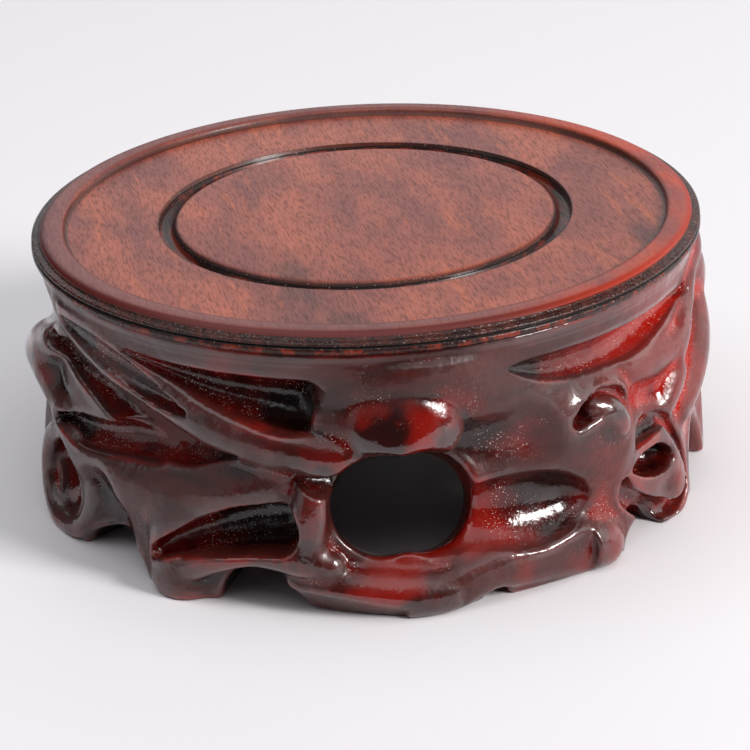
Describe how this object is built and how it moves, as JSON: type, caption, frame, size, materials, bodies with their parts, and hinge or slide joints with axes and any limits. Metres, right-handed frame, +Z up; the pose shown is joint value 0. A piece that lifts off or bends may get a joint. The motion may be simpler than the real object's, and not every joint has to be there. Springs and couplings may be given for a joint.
{
  "type": "round display stand",
  "caption": "Low round wooden display stand: a turned tray top with a raised rim and centre disc, set on a hollow base carved as tangled roots with open arches.",
  "frame": {"origin": "on the turned axis, at the floor under the feet", "axes": "+Z up along the turned axis, -Y towards the front side that the picture shows, +X to its right"},
  "size_m": [0.1151, 0.1182, 0.046],
  "materials": {
    "board_wood": "satin clear lacquer over stained rosewood",
    "carved_wood": "high-gloss dark red lacquer",
    "dowel_wood": "bare"
  },
  "bodies": {
    "stand": {"top_board": "board_wood", "carved_base": "carved_wood", "dowel_front": "dowel_wood", "dowel_back": "dowel_wood", "dowel_left": "dowel_wood", "dowel_right": "dowel_wood"}
  },
  "joints": []
}
